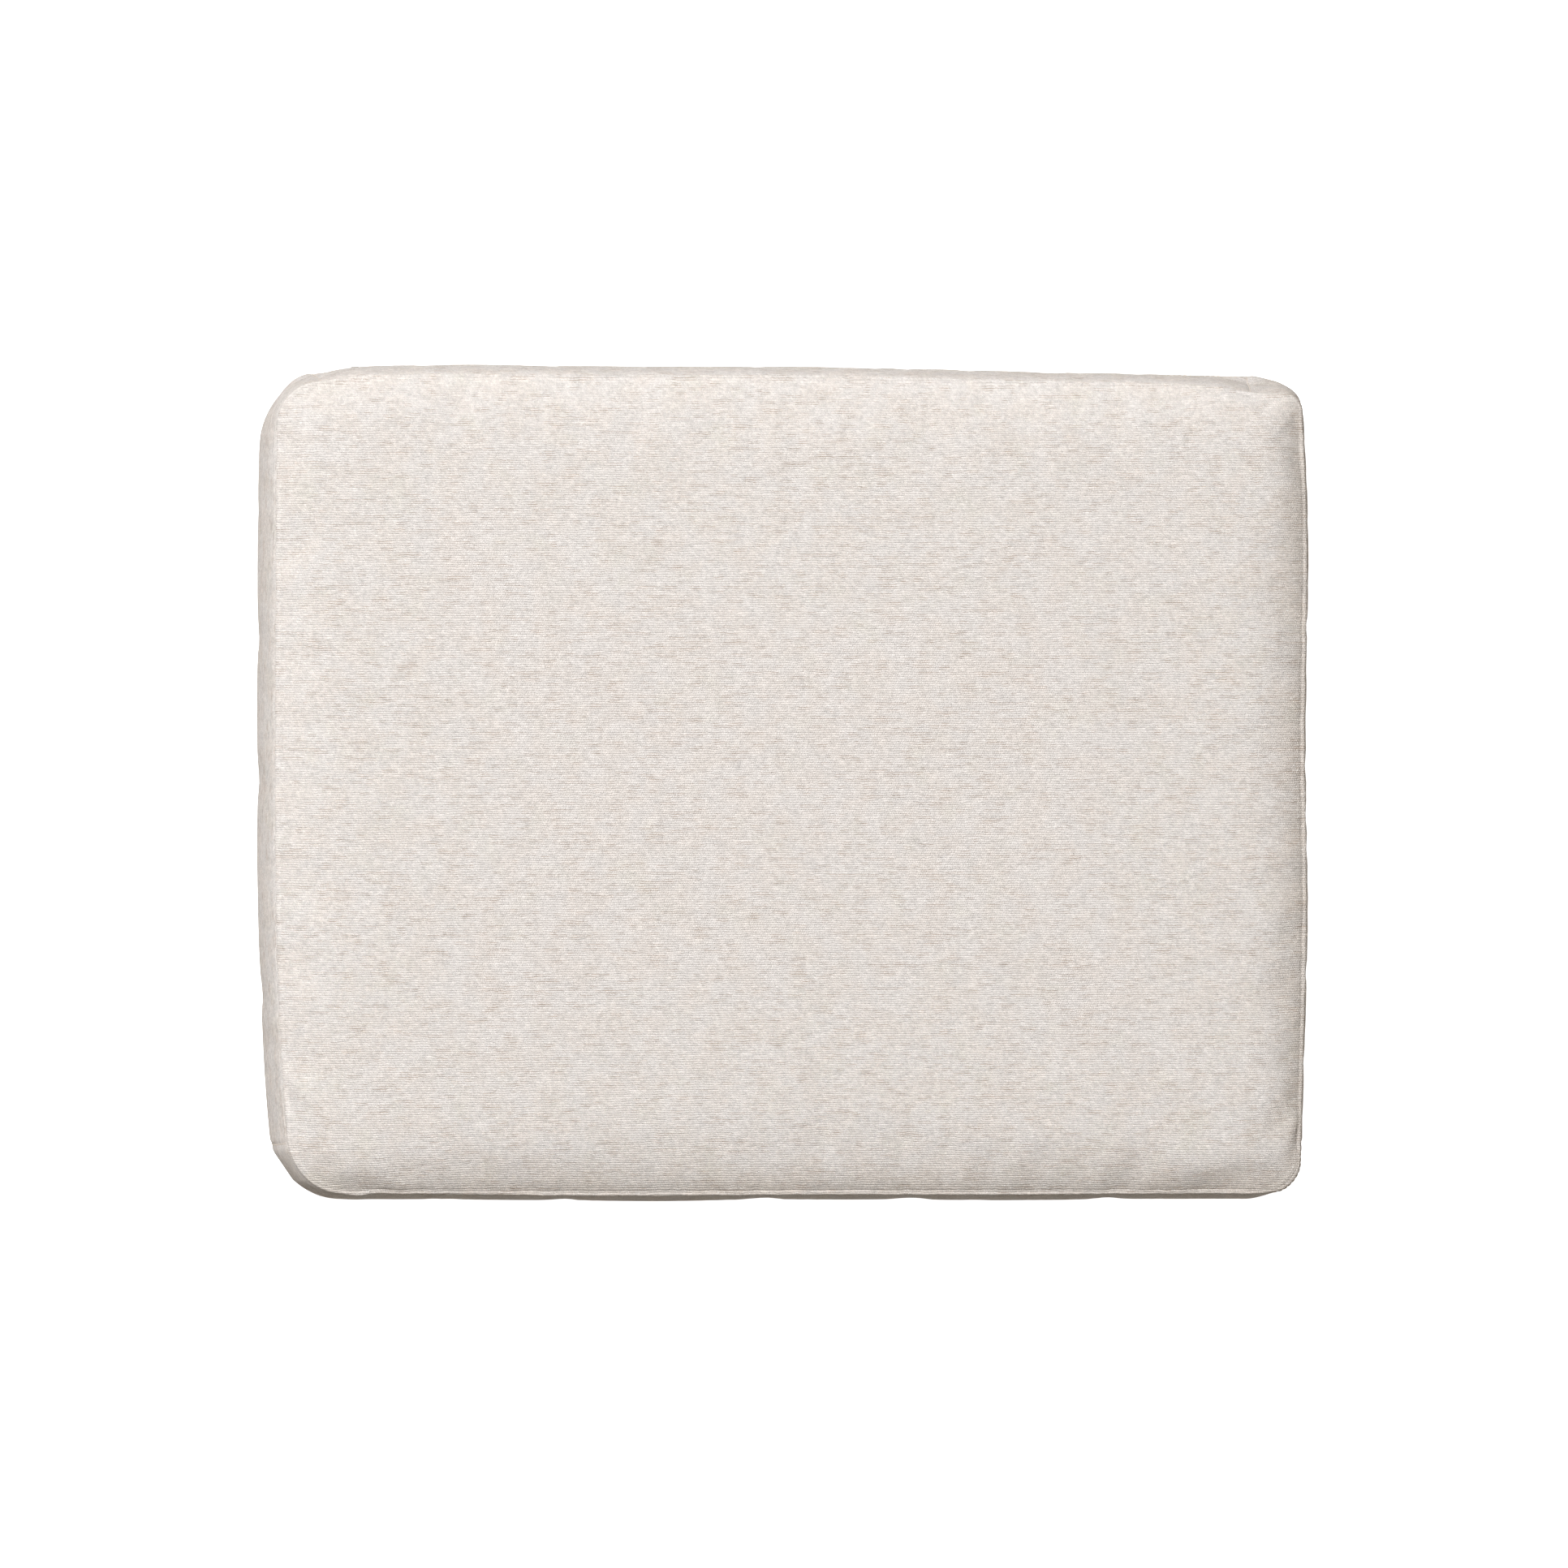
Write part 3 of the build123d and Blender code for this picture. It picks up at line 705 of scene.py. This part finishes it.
def band_shell(s, outer, inner, ends=True, **zip_place):
    """A strip of the band from two paths that run side by side. Its ends, if they are at
    upright seams, are drawn in there and swell out just beside them."""
    middle = band_row(s, 0.5, 0.0)
    near_end = np.minimum(*[np.linalg.norm(middle - middle[k], axis=1) for k in (0, -1)])
    pull = np.exp(-((near_end / (1.5 * MM)) ** 2))[None, :, None]
    swell = 0.3 * np.exp(-(((near_end - 3.4 * MM) / (1.3 * MM)) ** 2))[None, :, None]
    grids = []
    for path in (outer, inner):
        grid = band_form(s, path, **zip_place)
        if ends:
            deeper = band_form(s, [(t, inset + SEAM_PULL) for t, inset in path], **zip_place)
            grid = grid + (deeper - grid) * (pull - swell)
        grids.append(grid)
    uv = [band_uv(path, grids[0]) for path in (outer, inner)]
    grids = [puffed(grid) for grid in grids]
    blocks = [(grid, plan, False) for grid, plan in zip(grids, uv)]
    for k in (0, -1):
        row = [np.stack([part[k] for part in parts]) for parts in (grids, uv)]
        column = [np.stack([part[:, k] for part in parts], 1) for parts in (grids, uv)]
        blocks += [(*row, False), (*column, False)]
    return blocks


def band_columns(layout, start, stop):
    """Where the columns of a strip go: those of the panels, and closer ones at its ends."""
    side_length = 0.55
    fine = np.array([0, 0.4, 0.8, 1.3, 2.0, 2.8, 3.6, 4.6, 6.0]) * MM / side_length
    turns = np.concatenate([layout.s, layout.s + 4])
    inside = turns[(turns > start + fine[-1] * 1.2) & (turns < stop - fine[-1] * 1.2)]
    return np.concatenate([start + fine, inside, (stop - fine)[::-1]])


RIGHT_SEAM = side_place(1, SIDE_SEAM_Y)
LEFT_SEAM = side_place(3, SIDE_SEAM_Y)
REAR_RIGHT_SEAM = side_place(2, REAR_SEAM_X)
REAR_LEFT_SEAM = side_place(2, -REAR_SEAM_X)
HEIGHTS = 0.5 - 0.5 * np.cos(np.linspace(0, math.pi, 34))
OUTER_PATH = [(t, 0.0) for t in HEIGHTS]
INNER_PATH = [(t, FABRIC) for t in HEIGHTS]


def cover_pieces():
    for name, top in (("top_panel", True), ("bottom_panel", False)):
        blocks = shell(FINE, top, 0.0, FABRIC, True)
        obj = mesh_piece(f"cover_{name}", blocks, COVER, replaced=[name])
    spans = {
        "front_boxing": (LEFT_SEAM - 4, RIGHT_SEAM),
        "right_boxing": (RIGHT_SEAM, REAR_RIGHT_SEAM),
        "left_boxing": (REAR_LEFT_SEAM, LEFT_SEAM),
    }
    for name, (start, stop) in spans.items():
        s = band_columns(FINE, start, stop)
        blocks = band_shell(s, OUTER_PATH, INNER_PATH)
        obj = mesh_piece(f"cover_{name}", blocks, COVER, replaced=[name])


def half_band_paths(side):
    """The upper or lower rear strip: out from the seam to the fold, and back as its hem."""
    axis_z = FOLD_EDGE + FABRIC
    rise = BAND_HEIGHT / 2
    flat = np.linspace(0, 1, 26)
    heights = rise - (rise - axis_z) * (0.5 - 0.5 * np.cos(math.pi * flat))
    outer = [(z, 0.0) for z in heights]
    hem = smooth((HEM_REACH + 0.4 * MM - heights) / (0.8 * MM))
    inner = [(z, FABRIC * (1 + float(share))) for z, share in zip(heights, hem)]
    for turn in np.linspace(0, math.pi / 2, 6)[1:]:
        z = axis_z - FABRIC * math.sin(turn)
        outer.append((z, FABRIC * (1 - math.cos(turn))))
        inner.append((z, FABRIC * (1 + math.cos(turn))))
    return [[(0.5 + side * z / BAND_HEIGHT, inset) for z, inset in path] for path in (outer, inner)]


def rear_strips():
    s = band_columns(FINE, REAR_RIGHT_SEAM, REAR_LEFT_SEAM)
    for side, name in ((1, "rear_boxing_upper"), (-1, "rear_boxing_lower")):
        blocks = band_shell(s, *half_band_paths(side))
        obj = mesh_piece(f"cover_{name}", blocks, COVER, replaced=[name])


# ---------------------------------------------------------------- thread
def even_places(points, pitch):
    """Evenly spaced points along a line of points, and the line's directions there."""
    run = np.concatenate([[0], np.cumsum(np.linalg.norm(np.diff(points, axis=0), axis=1))])
    count = max(int(run[-1] / pitch), 1)
    at = (np.arange(count) + 0.5) * run[-1] / count
    def sample(distance):
        return np.stack([np.interp(distance, run, points[:, i]) for i in range(3)], 1)
    ways = sample(at + 0.3 * MM) - sample(at - 0.3 * MM)
    return sample(at), ways / np.linalg.norm(ways, axis=1)[:, None]


def stitch_row(line, outs=None, pitch=STITCH_PITCH, lift=0.0):
    """Stitches along a line. Outs are the cloth's outward directions at the line's points."""
    centres, ways = even_places(line, pitch)
    if outs is None:
        outs = np.stack([ways[:, 1], -ways[:, 0], np.zeros(len(ways))], 1)
    outs = np.broadcast_to(outs, centres.shape)
    return stitch_blocks(centres + outs * lift, ways, outs, pitch * 0.9)


def threads():
    s = np.linspace(0, 4, 2400)
    for name, t in (("top_seam_thread", 0.998), ("bottom_seam_thread", 0.002)):
        line = puffed(band_row(s, t, 0.0))
        mesh_piece(name + "_stitches", stitch_row(line, lift=0.15 * MM), THREAD,
                   replaced=[name])
    blocks = []
    for s_seam in (LEFT_SEAM, RIGHT_SEAM, REAR_RIGHT_SEAM, REAR_LEFT_SEAM):
        place = np.array([s_seam])
        rows = [band_row(place, t, 0.85 * SEAM_PULL) for t in np.linspace(0.03, 0.97, 60)]
        line = np.concatenate(rows)
        if s_seam in (REAR_RIGHT_SEAM, REAR_LEFT_SEAM):
            outs = np.array([0.0, 1.0, 0.0])
        else:
            outs = np.array([np.sign(line[0][0]), 0.0, 0.0])
        blocks += stitch_row(puffed(line), outs)
    mesh_piece("upright_seam_stitches", blocks, THREAD,
               replaced=["upright_seam_threads"])
    blocks = []
    s = np.linspace(REAR_RIGHT_SEAM, REAR_LEFT_SEAM, 1200)[12:-12]
    for side in (1, -1):
        t = 0.5 + side * (FOLD_EDGE + TOPSTITCH_AT) / BAND_HEIGHT
        line = puffed(band_row(s, t, 0.0))
        blocks += stitch_row(line, np.array([0.0, 1.0, 0.0]), lift=0.1 * MM)
    mesh_piece("zip_topstitch_rows", blocks, THREAD, replaced=["zip_topstitching"])


# ---------------------------------------------------------------- the zip
COIL_PITCH = 1.5 * MM
WIRE = 0.30 * MM


def coil(side):
    """A flattened spiral of nylon wire, sewn along the edge of its tape."""
    turns = int((COIL_HIGH.x - COIL_LOW.x - 2 * WIRE) / COIL_PITCH)
    turn = np.arange(turns * 14 + 1) * 2 * math.pi / 14
    x = COIL_LOW.x + WIRE + COIL_PITCH * turn / (2 * math.pi) + (0.35 * MM if side < 0 else 0)
    half_y = (COIL_HIGH.y - COIL_LOW.y) / 2 - WIRE
    half_z = (COIL_HIGH.z - COIL_LOW.z) / 2 - WIRE
    y = (COIL_HIGH.y + COIL_LOW.y) / 2 + half_y * np.sin(turn)
    z = (COIL_HIGH.z + COIL_LOW.z) / 2 - MID_Z + half_z * np.cos(turn)
    path = np.stack([x, y, MID_Z + side * z], 1)
    outs = np.stack([np.zeros_like(x), np.sin(turn), side * np.cos(turn)], 1)
    return tubes(path[None], outs[None], np.full((1, len(x)), WIRE))


def zip_pieces():
    s = np.linspace(REAR_RIGHT_SEAM, REAR_LEFT_SEAM, 180)[1:-1]
    for side, name in ((1, "upper"), (-1, "lower")):
        heights = np.linspace(TAPE_LOW.z, TAPE_HIGH.z, 14) - MID_Z
        paths = [[(0.5 + side * z / BAND_HEIGHT, inset) for z in heights] for inset in TAPE_LAYER]
        blocks = band_shell(s, *paths, ends=False)
        tape = mesh_piece(f"tape_{name}", blocks, TAPE, replaced=[f"zip_tape_{name}"])
        mesh_piece(f"coil_{name}", coil(side), NYLON, replaced=[f"zip_coil_{name}"])
    for node in ("zip_top_stops", "zip_bottom_stop", "zip_slider", "zip_pull_tab"):
        set_material(node, METAL)


def set_material(node, material):
    mesh = bpy.data.objects[node].data
    mesh.materials.clear()
    mesh.materials.append(material)


# ---------------------------------------------------------------- what is inside
INSIDE = {"recess": SLIDER_BACK - 0.4 * MM + LINER_LAYER[0], "reach": 42 * MM}


def inner_band(inset, low, high, count):
    return [(low + (high - low) * k / (count - 1), inset) for k in range(count)]


def wrap_half(top):
    """Half of the fibre wrap: a tray of wadding over the foam, open at the middle of the band."""
    outer, inner = FIBRE_LAYER
    blocks = []
    rims = []
    for inset in (outer, inner):
        rings, grid = panel_form(PLAIN, inset, top)
        share = (inset - outer) / BAND_HEIGHT
        edge = (1.0 - share) if top else share
        rows = band_form(PLAIN.s, inner_band(inset, 0.501 if top else 0.499, edge, 12), **INSIDE)
        rings[0] = rows[-1]
        for part in (rings, grid, rows):
            blocks.append((puffed(part, inset), flat_uv(part), part is not grid))
        rims.append(blocks[-1][0][0])
    rim = np.stack(rims)
    blocks.append((rim, flat_uv(rim), True))
    return blocks


def inner_pieces():
    for name, top in (("liner_top", True), ("liner_bottom", False)):
        blocks = shell(PLAIN, top, *LINER_LAYER, False)
        obj = mesh_piece(name + "_cloth", blocks, LINER, replaced=[name])
        wrap = "fibre_wrap_top" if top else "fibre_wrap_bottom"
    s = np.concatenate([PLAIN.s, [4.0]])
    paths = [inner_band(inset, 0.005, 0.995, 16) for inset in LINER_LAYER]
    obj = mesh_piece("liner_boxing_cloth", band_shell(s, *paths, ends=False, **INSIDE), LINER,
                     replaced=["liner_boxing"])
    places = np.linspace(0, 4, 1600)
    blocks = []
    for t in (0.99, 0.01):
        line = puffed(band_row(places, t, LINER_LAYER[0] - 0.1 * MM, **INSIDE))
        blocks += stitch_row(line, pitch=LINER_STITCH_PITCH)
    mesh_piece("liner_seam_stitches", blocks, THREAD,
               replaced=["liner_seam_threads"])
    for name, top in (("fibre_wrap_top", True), ("fibre_wrap_bottom", False)):
        wrap = mesh_piece(name + "_wadding", wrap_half(top), WADDING,
                          replaced=[name])
    blocks = []
    for top in (True, False):
        rings, grid = panel_form(PLAIN, FOAM_INSET, top)
        blocks += [(rings, flat_uv(rings), True), (grid, flat_uv(grid), False)]
    share = FOAM_INSET / BAND_HEIGHT
    rows = band_form(PLAIN.s, inner_band(FOAM_INSET, share, 1 - share, 12), **INSIDE)
    rows[-1], rows[0] = blocks[0][0][0], blocks[2][0][0]
    blocks.append((rows, flat_uv(rows), True))
    foam = mesh_piece("foam_block", blocks, FOAM, replaced=["foam_core"])
    start, stop = sorted(side_place(3, y) for y in (LABEL_LOW.y, LABEL_HIGH.y))
    top_t = height_share(LABEL_HIGH.z)
    paths = [inner_band(inset, 0.01, top_t, 9) for inset in LABEL_LAYER]
    blocks = band_shell(np.linspace(start, stop, 16), *paths, ends=False)
    label = mesh_piece("sewn_label", blocks, SATIN, replaced=["care_label"])


cover_pieces()
rear_strips()
threads()
zip_pieces()
inner_pieces()


# ---------------------------------------------------------------- floor, light and camera
def floor():
    """A paper floor that glows a little, so that it reads white without a bright world."""
    mesh = bpy.data.meshes.new("floor")
    half = 14.0
    corners = [(-half, -half, 0), (half, -half, 0), (half, half, 0), (-half, half, 0)]
    mesh.from_pydata(corners, [], [(0, 1, 2, 3)])
    obj = bpy.data.objects.new("floor", mesh)
    obj.location.z = -0.2 * MM
    bpy.context.scene.collection.objects.link(obj)
    g = Graph("floor_paper", linear(250, 250, 249), 0.9)
    g.shader.inputs["Emission Color"].default_value = (1, 1, 1, 1)
    g.shader.inputs["Emission Strength"].default_value = 0.92
    g.shader.inputs["Specular IOR Level"].default_value = 0.0
    mesh.materials.append(g.material)
    obj.visible_diffuse = False


def soft_light(name, place, size, watts, colour):
    data = bpy.data.lights.new(name, "AREA")
    data.color = colour
    data.shape = "DISK"
    data.size = size
    data.energy = watts
    obj = bpy.data.objects.new(name, data)
    obj.location = place
    obj.rotation_euler = (-Vector(place)).to_track_quat("-Z", "Y").to_euler()
    obj.visible_camera = False
    bpy.context.scene.collection.objects.link(obj)


def camera():
    """A long lens high above the pad, leaning a little to the left and to the rear."""
    data = bpy.data.cameras.new("camera")
    data.sensor_width = 36
    data.lens = 250
    data.clip_end = 100
    frame_width = 0.895
    distance = frame_width * data.lens / data.sensor_width
    lean = Vector((-math.tan(math.radians(4.2)), math.tan(math.radians(1.4)), 1)).normalized()
    across = (Vector((1, 0, 0)) - lean * lean.x).normalized()
    turn = Matrix((across, lean.cross(across), lean)).transposed()
    obj = bpy.data.objects.new("camera", data)
    obj.matrix_world = Matrix.Translation(Vector((0, 0, MID_Z)) + lean * distance) @ turn.to_4x4()
    bpy.context.scene.collection.objects.link(obj)
    bpy.context.scene.camera = obj


def world():
    """Soft light from all round, stronger straight above and warmer from low down."""
    sky = bpy.data.worlds.new("studio")
    sky.use_nodes = True
    nodes, links = sky.node_tree.nodes, sky.node_tree.links
    background = nodes["Background"]
    parts = nodes.new("ShaderNodeSeparateXYZ")
    links.new(nodes.new("ShaderNodeTexCoord").outputs["Generated"], parts.inputs[0])
    total = nodes.new("ShaderNodeMath")
    for start, full, strength, socket in ((0.2, 1.0, 0.42, 0), (-0.02, -0.25, 0.60, 1)):
        part = nodes.new("ShaderNodeMapRange")
        part.inputs["From Min"].default_value = start
        part.inputs["From Max"].default_value = full
        part.inputs["To Max"].default_value = strength
        links.new(parts.outputs["Z"], part.inputs["Value"])
        links.new(part.outputs["Result"], total.inputs[socket])
    links.new(total.outputs[0], background.inputs["Strength"])
    high = nodes.new("ShaderNodeMapRange")
    high.inputs["From Min"].default_value = 0.1
    high.inputs["From Max"].default_value = 0.8
    links.new(parts.outputs["Z"], high.inputs["Value"])
    tint = nodes.new("ShaderNodeMix")
    tint.data_type = "RGBA"
    tint.inputs[6].default_value = (1.0, 0.90, 0.79, 1)
    tint.inputs[7].default_value = (1.0, 0.93, 0.85, 1)
    links.new(high.outputs["Result"], tint.inputs[0])
    links.new(tint.outputs[2], background.inputs["Color"])
    bpy.context.scene.world = sky


floor()
world()
# Both lights aim at the pad. The key is high at the rear left.
soft_light("key", (-2.3, 2.8, 5.3), 1.9, 448, (0.99, 0.99, 1.0))
soft_light("fill", (2.6, 0.5, 1.3), 1.4, 4, (1.0, 0.95, 0.88))
camera()
bpy.context.scene.view_settings.view_transform = "Standard"

bpy.context.view_layer.update()
